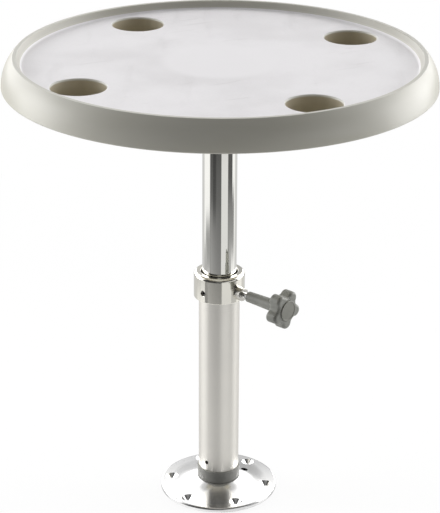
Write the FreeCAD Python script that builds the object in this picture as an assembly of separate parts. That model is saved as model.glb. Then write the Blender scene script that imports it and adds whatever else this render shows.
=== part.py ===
import FreeCAD
import Part
import math
import os

# Telescoping pedestal table: a round moulded top on an aluminium column that slides, turns and clamps.
# Millimetres, +Z up, origin at the centre of the base plate's underside.

# ---- Fits ----

SEAT_GAP = 0.05             # radial gap of a part that stays in its seat
RUNNING_GAP = 0.08          # radial gap of a part that slides or turns in another
END_PLAY = 0.3              # axial play, and the room left at the end of a travel
EDGE_BREAK = 0.8            # rounding of small metal edges
OVERRUN = 1.0               # how far a cutting shape runs past the face it cuts

# ---- Base plate ----

BASE_DIAMETER = 175.0
BASE_RIM_HEIGHT = 7.0       # height of the top face at the rim, before its edge is rounded
BASE_RIM_ROUNDING = 2.8
BASE_EDGE_ROUNDING = 1.4
BROW_INSET = 26.5           # from the rim in to where the flat outer part starts to rise
BROW_HEIGHT = 7.95
BROW_ROUNDING = 125.0
FLANK_REACH = 11.5          # from the foot ring out to where the hub's flank eases off
FLANK_HEIGHT = 12.0
FLANK_ROUNDING = 50.0
HUB_HEIGHT = 17.1
FIXING_INSET = 15.0         # floor screws to the plate's rim
FIXING_COUNT = 6
FIXING_FIRST_ANGLE = -9.0
FIXING_HOLE = 7.0
FIXING_SINK = 18.5          # mouth of the countersink
DRAIN_HOLE = 10.5
DRAIN_RADIUS = 47.0         # distance of the drain hole from the axis
DRAIN_ANGLE = 32.5
RECESS_DEPTH = 4.5          # ring-shaped hollow under the plate
RECESS_LAND = 2.0           # flat left between the hollow and a countersink
RECESS_START = 6.0          # flat left between the hub's line and the hollow

# ---- Spigot and its bolt ----

SPIGOT_HEIGHT = 62.0
SPIGOT_CHAMFER = 2.5
BOLT_DIAMETER = 10.0
BOLT_REACH = 30.0           # depth of thread in the spigot
BOLT_HEAD_DIAMETER = 16.0
BOLT_HEAD_HEIGHT = 6.0
BOLT_SOCKET = 7.0           # across flats
BOLT_SOCKET_DEPTH = 3.5
WASHER_DIAMETER = 20.0
WASHER_THICKNESS = 2.0
BOLT_HOLE_GAP = 0.25
BOLT_HEAD_LIFT = 1.0        # the head stays clear of the floor

# ---- Foot ring ----

FOOT_RING_WALL = 1.95
FOOT_RING_HEIGHT = 19.0
FOOT_RING_FLOOR = 2.9       # plastic between the hub and the tube's end
FOOT_RING_ROUNDING = 0.7

# ---- Tubes ----

UPPER_TUBE_DIAMETER = 50.0
UPPER_TUBE_WALL = 2.5
UPPER_TUBE_LENGTH = 381.0
TUBE_GAP = 2.0              # between the tubes, filled by the liner and the guide ring
LOWER_TUBE_WALL = 3.0
LOWER_TUBE_LENGTH = 325.0
RAISING_LEFT = 40.0         # how far the table still rises from the height it is set at

# ---- Collar, liner and set screws ----

COLLAR_WALL = 7.2
COLLAR_HEIGHT = 39.0
COLLAR_LIP = 6.5            # thickness of the lip over the tube's end
COLLAR_MOUTH_GAP = 2.0      # open ring between that lip and the upper tube
COLLAR_TOP_ROUNDING = 5.0
COLLAR_FOOT_ROUNDING = 1.0
LINER_FLANGE = 3.0
LINER_SLEEVE = 40.0
CLAMP_RISE = 14.0           # clamp axis above the collar's lower face
SET_SCREW_DIAMETER = 6.0
SET_SCREW_SOCKET = 3.0
SET_SCREW_SOCKET_DEPTH = 3.0
SET_SCREW_SINK = 1.8        # how deep the foot screws sit below the surface
SET_SCREW_CHAMFER = 0.7
COLLAR_SCREW_DIAMETER = 8.0
COLLAR_SCREW_SOCKET = 4.0
COLLAR_SCREW_SINK = 2.2
COLLAR_SCREW_ANGLE = -130.0
FOOT_SCREW_ANGLE = -126.5
FOOT_SCREW_RISE = 30.0      # above the lower tube's end
FOOT_SCREW_LENGTH = 13.0
OPPOSITE = (0.0, 180.0)     # the set screws come in facing pairs

# ---- Guide at the upper tube's foot ----

GUIDE_HEIGHT = 21.0
GUIDE_NECK_STEP = 3.0       # how far the neck stands back from the tube's surface
GUIDE_SPLIT = 3.0
PLUG_SHANK = 24.0           # length inside the upper tube
PLUG_SHOULDER = 2.0
PLUG_FLANGE = 3.0
PLUG_FLANGE_GAP = 1.0       # to the lower tube's bore
PLUG_NECK_WALL = 7.0

# ---- Clamp ----

CLAMP_ANGLE = -42.0
BOSS_DIAMETER = 19.5
BOSS_LENGTH = 10.5          # beyond the collar
BOSS_ROUNDING = 1.2
BOSS_SPIGOT = 14.0
STUD_DIAMETER = 8.0
STUD_PITCH = 1.25
STUD_TIP_DIAMETER = 5.0
STUD_TIP_LENGTH = 3.0
KNOB_TURNS = 3.0            # turns from clamped to fully slack
SHOE_DIAMETER = 9.4
SHOE_LENGTH = 5.0
SHOE_GAP = 0.15             # from the upper tube when clamped

# ---- Knob ----

STEM_GAP = 9.25             # bare stud between the boss and the stem
STEM_LENGTH = 56.0
STEM_INNER_DIAMETER = 15.5
STEM_OUTER_DIAMETER = 18.5
STAR_LOBES = 5
STAR_DIAMETER = 57.0
STAR_THICKNESS = 18.0
STAR_FACE_ROUNDING = 4.2
STAR_BACK_ROUNDING = 2.4
LOBE_RADIUS = 9.0
VALLEY_RADIUS = 8.0
STAR_FIRST_ANGLE = 0.0
STEM_END_ROUNDING = 0.8
CAP_DIAMETER = 30.5
CAP_SEAT_DEPTH = 2.2
CAP_RISE = 1.6
CAP_ROUNDING = 0.8
CAP_RIM = 1.8               # width of the raised rim round the cap's sunk face
CAP_SINK = 0.5
STUD_GRIP = 28.0            # length of stud moulded into the stem

# ---- Socket flange under the top ----

FLANGE_DIAMETER = 165.0
FLANGE_THICKNESS = 6.0
FLANGE_FILLET = 8.0
FLANGE_WEB = 4.0            # metal between the tube's end and the board
SOCKET_WALL = 5.95
SOCKET_DEPTH = 45.0
GUSSET_COUNT = 6
GUSSET_THICKNESS = 4.0
GUSSET_REACH = 20.0         # along the plate
GUSSET_DROP = 26.0          # down the socket
GUSSET_ROOT = 1.0           # sunk into the socket's wall
FLANGE_SCREW_INSET = 17.5   # screws to the flange's rim
FLANGE_SCREW_COUNT = 6
FLANGE_SCREW_DIAMETER = 6.0
FLANGE_SCREW_HEAD = 12.0
FLANGE_SCREW_LENGTH = 17.0
FLANGE_SCREW_SOCKET = 4.0
FLANGE_SCREW_SOCKET_DEPTH = 2.2
FLANGE_SCREW_OFFSET = 30.0  # the screws sit between the gussets
INSERT_DIAMETER = 9.5
INSERT_LENGTH = 12.0
BOARD_CLEARANCE = 8.4       # between the board and the cup walls
BOARD_THICKNESS = 15.0
BOARD_ROUNDING = 3.0

# ---- Moulded top ----

TOP_DIAMETER = 610.0        # across the skirt's lower edge
TOP_SKIN = 3.6
CREST_WIDTH = 5.0           # from the lip's inner face to where the crest's outer rounding begins
SKIRT_SPREAD = 17.3         # from there out to the skirt's lower edge
LIP_RISE = 11.6             # crest above the table surface
LIP_SLOPE = 61.0            # degrees of the lip's inner face above the table surface
LIP_ROUNDING = 1.5
LIP_FOOT_ROUNDING = 4.0
SKIRT_DEPTH = 41.2          # crest to the skirt's lower edge
SKIRT_TURN = 43.5           # degrees of the surface normal where crest passes into skirt
SKIRT_EDGE_ROUNDING = 1.5
CUP_COUNT = 4
CUP_INSET = 80.0            # cup centres to the skirt's lower edge
CUP_FIRST_ANGLE = 33.0
CUP_DIAMETER = 76.0
CUP_DEPTH = 42.0
CUP_DRAFT = 2.0             # degrees
CUP_RIM_ROUNDING = 2.5
CUP_FLOOR_ROUNDING = 5.0
CUP_MARGIN = 3.0            # flat ring between the rim's rounding and the seam with the sheet

# ---- Radii and levels that follow ----

base_radius = BASE_DIAMETER / 2
fixing_distance = base_radius - FIXING_INSET
upper_outer = UPPER_TUBE_DIAMETER / 2
upper_inner = upper_outer - UPPER_TUBE_WALL
lower_inner = upper_outer + TUBE_GAP
lower_outer = lower_inner + LOWER_TUBE_WALL
foot_ring_outer = lower_outer + SEAT_GAP + FOOT_RING_WALL
collar_bore = lower_outer + SEAT_GAP
collar_outer = collar_bore + COLLAR_WALL
guide_neck = upper_outer - GUIDE_NECK_STEP
socket_bore = upper_outer + SEAT_GAP
socket_outer = socket_bore + SOCKET_WALL
flange_screw_distance = FLANGE_DIAMETER / 2 - FLANGE_SCREW_INSET
top_radius = TOP_DIAMETER / 2
crest_radius = top_radius - SKIRT_SPREAD
cup_distance = top_radius - CUP_INSET
board_radius = cup_distance - CUP_DIAMETER / 2 - TOP_SKIN - BOARD_CLEARANCE
set_screw_radius = SET_SCREW_DIAMETER / 2
stud_radius = STUD_DIAMETER / 2

spigot_top = HUB_HEIGHT + SPIGOT_HEIGHT
lower_tube_foot = HUB_HEIGHT + FOOT_RING_FLOOR
lower_tube_top = lower_tube_foot + LOWER_TUBE_LENGTH
collar_top = lower_tube_top + LINER_FLANGE + COLLAR_LIP
collar_foot = collar_top - COLLAR_HEIGHT
clamp_level = collar_foot + CLAMP_RISE
foot_screw_level = lower_tube_foot + FOOT_SCREW_RISE
liner_foot = lower_tube_top - LINER_SLEEVE

guide_top = liner_foot - RAISING_LEFT - END_PLAY
guide_foot = guide_top - GUIDE_HEIGHT
plug_foot = guide_foot - END_PLAY - PLUG_FLANGE
upper_tube_foot = guide_top + END_PLAY + PLUG_SHOULDER
upper_tube_top = upper_tube_foot + UPPER_TUBE_LENGTH
board_foot = upper_tube_top + FLANGE_WEB
surface_level = board_foot + BOARD_THICKNESS + TOP_SKIN
crest_level = surface_level + LIP_RISE
skirt_foot_level = crest_level - SKIRT_DEPTH
socket_foot = upper_tube_top - SOCKET_DEPTH

shoe_face = upper_outer + SHOE_GAP
shoe_back = shoe_face + SHOE_LENGTH
shoe_travel = KNOB_TURNS * STUD_PITCH
shoe_pocket_end = shoe_back + shoe_travel + END_PLAY
shoe_hole_radius = SHOE_DIAMETER / 2 + SHOE_GAP
boss_face = collar_outer + BOSS_LENGTH
stem_start = boss_face + STEM_GAP
stem_end = stem_start + STEM_LENGTH
star_face = stem_end + STAR_THICKNESS

vertical = FreeCAD.Vector(0, 0, 1)
centre = FreeCAD.Vector(0, 0, 0)


# ---- Helpers ----

def corner_arc(before, corner, after, rounding):
    """Return the start, middle and end of the arc that rounds a corner."""
    to_before = (before - corner).normalize()
    to_after = (after - corner).normalize()
    half_angle = to_before.getAngle(to_after) / 2
    reach = rounding / math.tan(half_angle)
    bisector = (to_before + to_after).normalize()
    middle = corner + bisector * (rounding / math.sin(half_angle) - rounding)
    return corner + to_before * reach, middle, corner + to_after * reach


def rounded_wire(corners, closed=True):
    """Return a wire in the XZ plane from corners of (radius, height, rounding)."""
    points = [FreeCAD.Vector(radius, 0, height) for radius, height, _ in corners]
    last = len(corners) - 1
    edges = []
    ends = []
    for index, (_, _, rounding) in enumerate(corners):
        if rounding > 0:
            start, middle, end = corner_arc(points[index - 1], points[index],
                                            points[(index + 1) % len(points)], rounding)
            ends.append((start, end))
            edges.append(Part.Arc(start, middle, end).toShape())
        else:
            ends.append((points[index], points[index]))
    for index in range(last + 1 if closed else last):
        edges.append(Part.makeLine(ends[index][1], ends[(index + 1) % len(ends)][0]))
    return Part.Wire(Part.__sortEdges__(edges))


def turned(corners):
    """Return the solid that a closed profile sweeps round the vertical axis."""
    return Part.Face(rounded_wire(corners)).revolve(centre, vertical, 360)


def direction(angle):
    """Return the horizontal unit vector at an angle in degrees."""
    return FreeCAD.Vector(math.cos(math.radians(angle)), math.sin(math.radians(angle)), 0)


def spot(distance, angle, height=0.0):
    """Return the point at a distance from the axis, an angle and a height."""
    return direction(angle) * distance + vertical * height


def even_angles(count, first=0.0):
    """Return angles that share a full turn evenly."""
    return [first + 360.0 * index / count for index in range(count)]


def upright(radius, foot, top, place=centre):
    """Return a vertical cylinder between two heights."""
    return Part.makeCylinder(radius, top - foot, place + vertical * foot)


def radial(radius, inner, outer, height, angle):
    """Return a horizontal cylinder between two distances from the axis."""
    return Part.makeCylinder(radius, outer - inner, spot(inner, angle, height), direction(angle))


def point_outward(shape, angle, height):
    """Turn a shape made along the vertical axis so that it points away from the column at a height."""
    turned_shape = shape.copy()
    turned_shape.rotate(centre, FreeCAD.Vector(0, 1, 0), 90)
    turned_shape.rotate(centre, vertical, angle)
    turned_shape.translate(vertical * height)
    return turned_shape


def hexagon(across_flats, foot, top):
    """Return a vertical hexagonal prism."""
    corner = across_flats / math.sqrt(3)
    points = [spot(corner, angle, foot) for angle in even_angles(6)]
    return Part.Face(Part.makePolygon(points + points[:1])).extrude(vertical * (top - foot))


def socket_screw(radius, foot, top, socket, socket_depth, chamfer):
    """Return a headless screw along the vertical axis with a hexagon socket in its top."""
    body = turned([(0, foot, 0), (radius - chamfer, foot, 0), (radius, foot + chamfer, 0),
                   (radius, top - chamfer, 0), (radius - chamfer, top, 0), (0, top, 0)])
    return body.cut(hexagon(socket, top - socket_depth, top))


def tube(inner, outer, foot, top):
    """Return a plain tube between two heights."""
    return upright(outer, foot, top).cut(upright(inner, foot, top))


# ---- Base ----

def base_plate():
    """Return the floor flange that flares up to the foot ring, with its holes and the hollow underneath."""
    plate = turned([(0, 0, 0), (base_radius, 0, BASE_EDGE_ROUNDING),
                    (base_radius, BASE_RIM_HEIGHT, BASE_RIM_ROUNDING),
                    (base_radius - BROW_INSET, BROW_HEIGHT, BROW_ROUNDING),
                    (foot_ring_outer + FLANK_REACH, FLANK_HEIGHT, FLANK_ROUNDING),
                    (foot_ring_outer, HUB_HEIGHT, 0), (0, HUB_HEIGHT, 0)])
    hollow_end = fixing_distance - FIXING_SINK / 2 - RECESS_LAND
    hollow = tube(lower_outer + RECESS_START, hollow_end, 0, RECESS_DEPTH)
    plate = plate.cut([hollow, bolt_recess()] + [fixing_hole(angle) for angle in fixing_angles()])
    return plate.cut(upright(DRAIN_HOLE / 2, 0, HUB_HEIGHT, spot(DRAIN_RADIUS, DRAIN_ANGLE)))


def fixing_angles():
    """Return the angles of the floor screws."""
    return even_angles(FIXING_COUNT, FIXING_FIRST_ANGLE)


def fixing_hole(angle):
    """Return one countersunk hole, its mouth at the height of the top face above it."""
    place = spot(fixing_distance, angle)
    slope = (BROW_HEIGHT - BASE_RIM_HEIGHT) / BROW_INSET
    mouth = BASE_RIM_HEIGHT + slope * FIXING_INSET
    cone_depth = (FIXING_SINK - FIXING_HOLE) / 2
    cone = Part.makeCone(FIXING_HOLE / 2, FIXING_HOLE / 2 + 2 * cone_depth, 2 * cone_depth,
                         place + vertical * (mouth - cone_depth))
    return upright(FIXING_HOLE / 2, 0, mouth, place).fuse(cone)


def bolt_recess():
    """Return the stepped hole for the foot bolt, its washer and its head."""
    recess_depth = BOLT_HEAD_LIFT + BOLT_HEAD_HEIGHT + WASHER_THICKNESS
    recess = upright(WASHER_DIAMETER / 2 + BOLT_HOLE_GAP, 0, recess_depth)
    return recess.fuse(upright(BOLT_DIAMETER / 2 + BOLT_HOLE_GAP, 0, HUB_HEIGHT))


def foot_washer():
    """Return the washer between the bolt's head and the plate."""
    foot = BOLT_HEAD_LIFT + BOLT_HEAD_HEIGHT
    return tube(BOLT_DIAMETER / 2 + BOLT_HOLE_GAP, WASHER_DIAMETER / 2, foot, foot + WASHER_THICKNESS)


def foot_bolt():
    """Return the low-head socket bolt that holds the spigot to the plate."""
    head_top = BOLT_HEAD_LIFT + BOLT_HEAD_HEIGHT
    shank_radius = BOLT_DIAMETER / 2
    head_radius = BOLT_HEAD_DIAMETER / 2
    bolt = turned([(0, BOLT_HEAD_LIFT, 0), (head_radius, BOLT_HEAD_LIFT, SET_SCREW_CHAMFER),
                   (head_radius, head_top, 0), (shank_radius, head_top, 0),
                   (shank_radius, HUB_HEIGHT + BOLT_REACH, SET_SCREW_CHAMFER),
                   (0, HUB_HEIGHT + BOLT_REACH, 0)])
    return bolt.cut(hexagon(BOLT_SOCKET, BOLT_HEAD_LIFT, BOLT_HEAD_LIFT + BOLT_SOCKET_DEPTH))


def foot_spigot():
    """Return the plug that fills the lower tube's foot."""
    radius = lower_inner - SEAT_GAP
    spigot = turned([(0, HUB_HEIGHT, 0), (radius, HUB_HEIGHT, 0), (radius, spigot_top - SPIGOT_CHAMFER, 0),
                     (radius - SPIGOT_CHAMFER, spigot_top, 0), (0, spigot_top, 0)])
    thread = upright(BOLT_DIAMETER / 2 + SEAT_GAP, HUB_HEIGHT, HUB_HEIGHT + BOLT_REACH + END_PLAY)
    return spigot.cut([thread] + foot_screw_holes(lower_inner))


def foot_screw_span():
    """Return the inner and outer distance of the foot screws from the axis."""
    outer = lower_outer - SET_SCREW_SINK
    return outer - FOOT_SCREW_LENGTH, outer


def foot_screw_holes(outer):
    """Return the pair of holes that the foot screws run in, from their tips out to a distance."""
    inner = foot_screw_span()[0]
    return [radial(set_screw_radius + SEAT_GAP, inner, outer, foot_screw_level, FOOT_SCREW_ANGLE + turn)
            for turn in OPPOSITE]


def foot_ring():
    """Return the plastic cup that the lower tube stands in."""
    wall_inner = lower_outer + SEAT_GAP
    top = HUB_HEIGHT + FOOT_RING_HEIGHT
    return turned([(lower_inner, HUB_HEIGHT, 0), (foot_ring_outer, HUB_HEIGHT, FOOT_RING_ROUNDING),
                   (foot_ring_outer, top, FOOT_RING_ROUNDING), (wall_inner, top, 0),
                   (wall_inner, lower_tube_foot, 0), (lower_inner, lower_tube_foot, 0)])


# ---- Lower tube and collar ----

def lower_tube():
    """Return the outer tube with its holes for the foot screws and the clamp shoe."""
    body = tube(lower_inner, lower_outer, lower_tube_foot, lower_tube_top)
    shoe_hole = radial(shoe_hole_radius, upper_outer, collar_outer, clamp_level, CLAMP_ANGLE)
    return body.cut([shoe_hole] + foot_screw_holes(collar_outer))


def clamp_collar():
    """Return the collar that closes the lower tube's top and carries the clamp."""
    mouth = upper_outer + COLLAR_MOUTH_GAP
    bore_top = collar_top - COLLAR_LIP
    collar = turned([(collar_bore, collar_foot, 0), (collar_outer, collar_foot, COLLAR_FOOT_ROUNDING),
                     (collar_outer, collar_top, COLLAR_TOP_ROUNDING), (mouth, collar_top, EDGE_BREAK),
                     (mouth, bore_top, 0), (collar_bore, bore_top, 0)])
    pocket = radial(shoe_hole_radius, upper_outer, shoe_pocket_end, clamp_level, CLAMP_ANGLE)
    boss_seat = radial(BOSS_SPIGOT / 2 + SEAT_GAP, shoe_pocket_end, boss_face, clamp_level, CLAMP_ANGLE)
    return collar.cut([pocket, boss_seat] + [collar_screw_hole(turn) for turn in OPPOSITE])


def collar_screw_hole(turn):
    """Return one threaded hole through the collar with its chamfered mouth."""
    radius = COLLAR_SCREW_DIAMETER / 2 + SEAT_GAP
    hole = turned([(0, upper_outer, 0), (radius, upper_outer, 0),
                   (radius, collar_outer - SET_SCREW_CHAMFER, 0),
                   (radius + 2 * SET_SCREW_CHAMFER, collar_outer + SET_SCREW_CHAMFER, 0),
                   (0, collar_outer + SET_SCREW_CHAMFER, 0)])
    return point_outward(hole, COLLAR_SCREW_ANGLE + turn, clamp_level)


def set_screw_pair(radius, socket, inner, outer, angle, level):
    """Return a facing pair of set screws between two distances from the axis."""
    screw = socket_screw(radius, inner, outer, socket, SET_SCREW_SOCKET_DEPTH, SET_SCREW_CHAMFER)
    return Part.makeCompound([point_outward(screw, angle + turn, level) for turn in OPPOSITE])


def collar_grub_screws():
    """Return the set screws that hold the collar to the tube."""
    return set_screw_pair(COLLAR_SCREW_DIAMETER / 2, COLLAR_SCREW_SOCKET, collar_bore,
                          collar_outer - COLLAR_SCREW_SINK, COLLAR_SCREW_ANGLE, clamp_level)


def foot_grub_screws():
    """Return the set screws that hold the tube to the spigot."""
    inner, outer = foot_screw_span()
    return set_screw_pair(set_screw_radius, SET_SCREW_SOCKET, inner, outer, FOOT_SCREW_ANGLE,
                          foot_screw_level)


def tube_liner():
    """Return the flanged bush that guides the upper tube in the lower tube's mouth."""
    bore = upper_outer + RUNNING_GAP
    sleeve = lower_inner - SEAT_GAP
    flange = collar_bore - SEAT_GAP
    liner = turned([(bore, liner_foot, 0), (sleeve, liner_foot, 0), (sleeve, lower_tube_top, 0),
                    (flange, lower_tube_top, 0), (flange, lower_tube_top + LINER_FLANGE, 0),
                    (bore, lower_tube_top + LINER_FLANGE, 0)])
    return liner.cut(radial(shoe_hole_radius, upper_inner, collar_outer, clamp_level, CLAMP_ANGLE))


# ---- Clamp ----

def clamp_boss():
    """Return the threaded boss that stands out of the collar."""
    bore = stud_radius + RUNNING_GAP
    outer = BOSS_DIAMETER / 2
    boss = turned([(bore, collar_bore, 0), (outer, collar_bore, 0), (outer, boss_face, BOSS_ROUNDING),
                   (bore, boss_face, BOSS_ROUNDING / 2)])
    boss = point_outward(boss, CLAMP_ANGLE, clamp_level)
    boss = boss.cut(upright(collar_outer + SEAT_GAP, collar_foot, collar_top))
    root = collar_outer + OVERRUN
    spigot = turned([(bore, shoe_pocket_end, 0), (BOSS_SPIGOT / 2, shoe_pocket_end, 0),
                     (BOSS_SPIGOT / 2, root, 0), (bore, root, 0)])
    return boss.fuse(point_outward(spigot, CLAMP_ANGLE, clamp_level)).removeSplitter()


def clamp_shoe():
    """Return the pad whose hollow face presses on the upper tube."""
    shoe = turned([(0, 0, 0), (SHOE_DIAMETER / 2, 0, 0), (SHOE_DIAMETER / 2, shoe_back, 0),
                   (STUD_TIP_DIAMETER / 2 + RUNNING_GAP, shoe_back, 0),
                   (STUD_TIP_DIAMETER / 2 + RUNNING_GAP, shoe_back - STUD_TIP_LENGTH - RUNNING_GAP, 0),
                   (0, shoe_back - STUD_TIP_LENGTH - RUNNING_GAP, 0)])
    shoe = point_outward(shoe, CLAMP_ANGLE, clamp_level)
    return shoe.cut(upright(shoe_face, collar_foot, collar_top))


def knob_stud():
    """Return the threaded stud with the narrow tip that turns in the shoe."""
    tip = STUD_TIP_DIAMETER / 2
    shoulder = shoe_back + RUNNING_GAP
    stud = turned([(0, shoe_back - STUD_TIP_LENGTH, 0), (tip, shoe_back - STUD_TIP_LENGTH, 0),
                   (tip, shoulder, 0), (stud_radius, shoulder, SET_SCREW_CHAMFER),
                   (stud_radius, stem_start + STUD_GRIP, 0), (0, stem_start + STUD_GRIP, 0)])
    return point_outward(stud, CLAMP_ANGLE, clamp_level)


def star_outline(height):
    """Return the closed outline of round lobes and round valleys that run into each other."""
    lobe_distance = STAR_DIAMETER / 2 - LOBE_RADIUS
    half_step = math.pi / STAR_LOBES
    reach = LOBE_RADIUS + VALLEY_RADIUS
    valley_distance = lobe_distance * math.cos(half_step)
    valley_distance += math.sqrt(reach ** 2 - (lobe_distance * math.sin(half_step)) ** 2)
    edges = []
    for angle in even_angles(STAR_LOBES, STAR_FIRST_ANGLE):
        lobe = spot(lobe_distance, angle, height)
        before = spot(valley_distance, angle - 180 / STAR_LOBES, height)
        after = spot(valley_distance, angle + 180 / STAR_LOBES, height)
        following = spot(lobe_distance, angle + 360 / STAR_LOBES, height)
        share = LOBE_RADIUS / reach
        joins = [lobe + (before - lobe) * share, lobe + (after - lobe) * share,
                 following + (after - following) * share]
        tip = spot(STAR_DIAMETER / 2, angle, height)
        bottom = spot(valley_distance - VALLEY_RADIUS, angle + 180 / STAR_LOBES, height)
        edges.append(Part.Arc(joins[0], tip, joins[1]).toShape())
        edges.append(Part.Arc(joins[1], bottom, joins[2]).toShape())
    return Part.Wire(Part.__sortEdges__(edges))


def rounded_rim(shape, level, rounding):
    """Return a shape with all its edges at one height rounded."""
    rim = [edge for edge in shape.Edges
           if edge.BoundBox.ZMin > level - EDGE_BREAK and edge.BoundBox.ZMax < level + EDGE_BREAK]
    return shape.makeFillet(rounding, rim)


def knob_grip():
    """Return the star head and its tapered stem, moulded in one piece."""
    star = Part.Face(star_outline(stem_end)).extrude(vertical * STAR_THICKNESS)
    star = rounded_rim(star, star_face, STAR_FACE_ROUNDING)
    star = rounded_rim(star, stem_end, STAR_BACK_ROUNDING)
    root = stem_end + STAR_BACK_ROUNDING
    stem = turned([(0, stem_start, 0), (STEM_INNER_DIAMETER / 2, stem_start, STEM_END_ROUNDING),
                   (STEM_OUTER_DIAMETER / 2, stem_end, 0), (STEM_OUTER_DIAMETER / 2, root, 0),
                   (0, root, 0)])
    grip = star.fuse(stem).removeSplitter()
    stud_hole = upright(stud_radius + SEAT_GAP, stem_start, stem_start + STUD_GRIP + END_PLAY)
    cap_seat = upright(CAP_DIAMETER / 2 + SEAT_GAP, star_face - CAP_SEAT_DEPTH, star_face)
    return point_outward(grip.cut([stud_hole, cap_seat]), CLAMP_ANGLE, clamp_level)


def knob_cap():
    """Return the disc with a raised rim that closes the middle of the knob's face."""
    radius = CAP_DIAMETER / 2
    foot = star_face - CAP_SEAT_DEPTH
    rim_top = star_face + CAP_RISE
    cap = turned([(0, foot, 0), (radius, foot, 0), (radius, rim_top, CAP_ROUNDING),
                  (radius - CAP_RIM, rim_top, 0), (radius - CAP_RIM - CAP_SINK, rim_top - CAP_SINK, 0),
                  (0, rim_top - CAP_SINK, 0)])
    return point_outward(cap, CLAMP_ANGLE, clamp_level)


# ---- Upper tube and its guide ----

def upper_tube():
    """Return the inner tube."""
    return tube(upper_inner, upper_outer, upper_tube_foot, upper_tube_top)


def tube_end_plug():
    """Return the plug in the upper tube's foot, with the neck that carries the guide ring."""
    shank = upper_inner - SEAT_GAP
    flange = lower_inner - PLUG_FLANGE_GAP
    flange_top = plug_foot + PLUG_FLANGE
    shoulder = upper_tube_foot - PLUG_SHOULDER
    top = upper_tube_foot + PLUG_SHANK
    bore = guide_neck - PLUG_NECK_WALL
    return turned([(bore, plug_foot, 0), (flange, plug_foot, EDGE_BREAK), (flange, flange_top, 0),
                   (guide_neck, flange_top, 0), (guide_neck, shoulder, 0), (upper_outer, shoulder, 0),
                   (upper_outer, upper_tube_foot, 0), (shank, upper_tube_foot, 0),
                   (shank, top, 0), (bore, top, 0)])


def guide_ring():
    """Return the split ring on the plug's neck that slides in the lower tube."""
    inner = guide_neck + RUNNING_GAP
    outer = lower_inner - RUNNING_GAP
    split = Part.makeBox(outer, GUIDE_SPLIT, GUIDE_HEIGHT, FreeCAD.Vector(0, -GUIDE_SPLIT / 2, guide_foot))
    return tube(inner, outer, guide_foot, guide_top).cut(split)


# ---- Socket flange and board ----

def flange_screw_angles():
    """Return the angles of the screws between the gussets."""
    return even_angles(FLANGE_SCREW_COUNT, FLANGE_SCREW_OFFSET)


def flange_screw_profile(foot, gap):
    """Return half the outline of a countersunk screw, larger all round by a gap."""
    shank = FLANGE_SCREW_DIAMETER / 2 + gap
    head = FLANGE_SCREW_HEAD / 2 + gap
    top = foot + FLANGE_SCREW_LENGTH
    return [(0, foot, 0), (head, foot, 0), (shank, foot + head - shank, 0), (shank, top, 0), (0, top, 0)]


def flange_screws():
    """Return the six countersunk screws that hold the flange to the board."""
    foot = board_foot - FLANGE_THICKNESS
    screw = turned(flange_screw_profile(foot, 0))
    screw = screw.cut(hexagon(FLANGE_SCREW_SOCKET, foot, foot + FLANGE_SCREW_SOCKET_DEPTH))
    return repeated(screw, flange_screw_distance, flange_screw_angles())


def repeated(shape, distance, angles):
    """Return copies of a shape made on the axis, set at a distance and at each angle."""
    copies = []
    for angle in angles:
        copy = shape.copy()
        copy.translate(spot(distance, angle))
        copies.append(copy)
    return Part.makeCompound(copies)


def gusset(angle):
    """Return one web between the socket and the plate."""
    foot = board_foot - FLANGE_THICKNESS
    inner = socket_outer - GUSSET_ROOT
    profile = rounded_wire([(inner, foot, 0), (socket_outer + GUSSET_REACH, foot, 0),
                            (inner, foot - GUSSET_DROP, 0)])
    web = Part.Face(profile).extrude(FreeCAD.Vector(0, GUSSET_THICKNESS, 0))
    web.translate(FreeCAD.Vector(0, -GUSSET_THICKNESS / 2, 0))
    web.rotate(centre, vertical, angle)
    return web


def top_flange():
    """Return the socket flange with its gussets, screw holes and set-screw holes."""
    radius = FLANGE_DIAMETER / 2
    plate_foot = board_foot - FLANGE_THICKNESS
    flange = turned([(socket_bore, socket_foot, 0), (socket_outer, socket_foot, EDGE_BREAK),
                     (socket_outer, plate_foot, FLANGE_FILLET), (radius, plate_foot, EDGE_BREAK),
                     (radius, board_foot, 0), (0, board_foot, 0), (0, upper_tube_top, 0),
                     (socket_bore, upper_tube_top, 0)])
    flange = flange.fuse([gusset(angle) for angle in even_angles(GUSSET_COUNT)])
    hole = turned(flange_screw_profile(plate_foot, SEAT_GAP))
    holes = repeated(hole, flange_screw_distance, flange_screw_angles())
    threads = [radial(set_screw_radius + SEAT_GAP, upper_outer, socket_outer + OVERRUN,
                      flange_set_screw_level(), FLANGE_SCREW_OFFSET + turn) for turn in OPPOSITE]
    return flange.cut([holes] + threads).removeSplitter()


def flange_set_screw_level():
    """Return the height of the socket's set screws, midway along the bare end of the socket."""
    return socket_foot + (SOCKET_DEPTH - GUSSET_DROP) / 2


def flange_grub_screws():
    """Return the set screws that hold the upper tube in its socket."""
    return set_screw_pair(set_screw_radius, SET_SCREW_SOCKET, socket_bore, socket_outer,
                          FLANGE_SCREW_OFFSET, flange_set_screw_level())


def core_board():
    """Return the plywood disc that the flange is screwed to."""
    board_top = board_foot + BOARD_THICKNESS
    board = turned([(0, board_foot, 0), (board_radius, board_foot, BOARD_ROUNDING),
                    (board_radius, board_top, 0), (0, board_top, 0)])
    hole = upright(INSERT_DIAMETER / 2 + SEAT_GAP, board_foot, board_foot + INSERT_LENGTH + END_PLAY)
    return board.cut(repeated(hole, flange_screw_distance, flange_screw_angles()))


def top_inserts():
    """Return the six threaded inserts in the board."""
    insert = tube(FLANGE_SCREW_DIAMETER / 2 + SEAT_GAP, INSERT_DIAMETER / 2, board_foot,
                  board_foot + INSERT_LENGTH)
    return repeated(insert, flange_screw_distance, flange_screw_angles())


# ---- Moulded top ----

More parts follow.
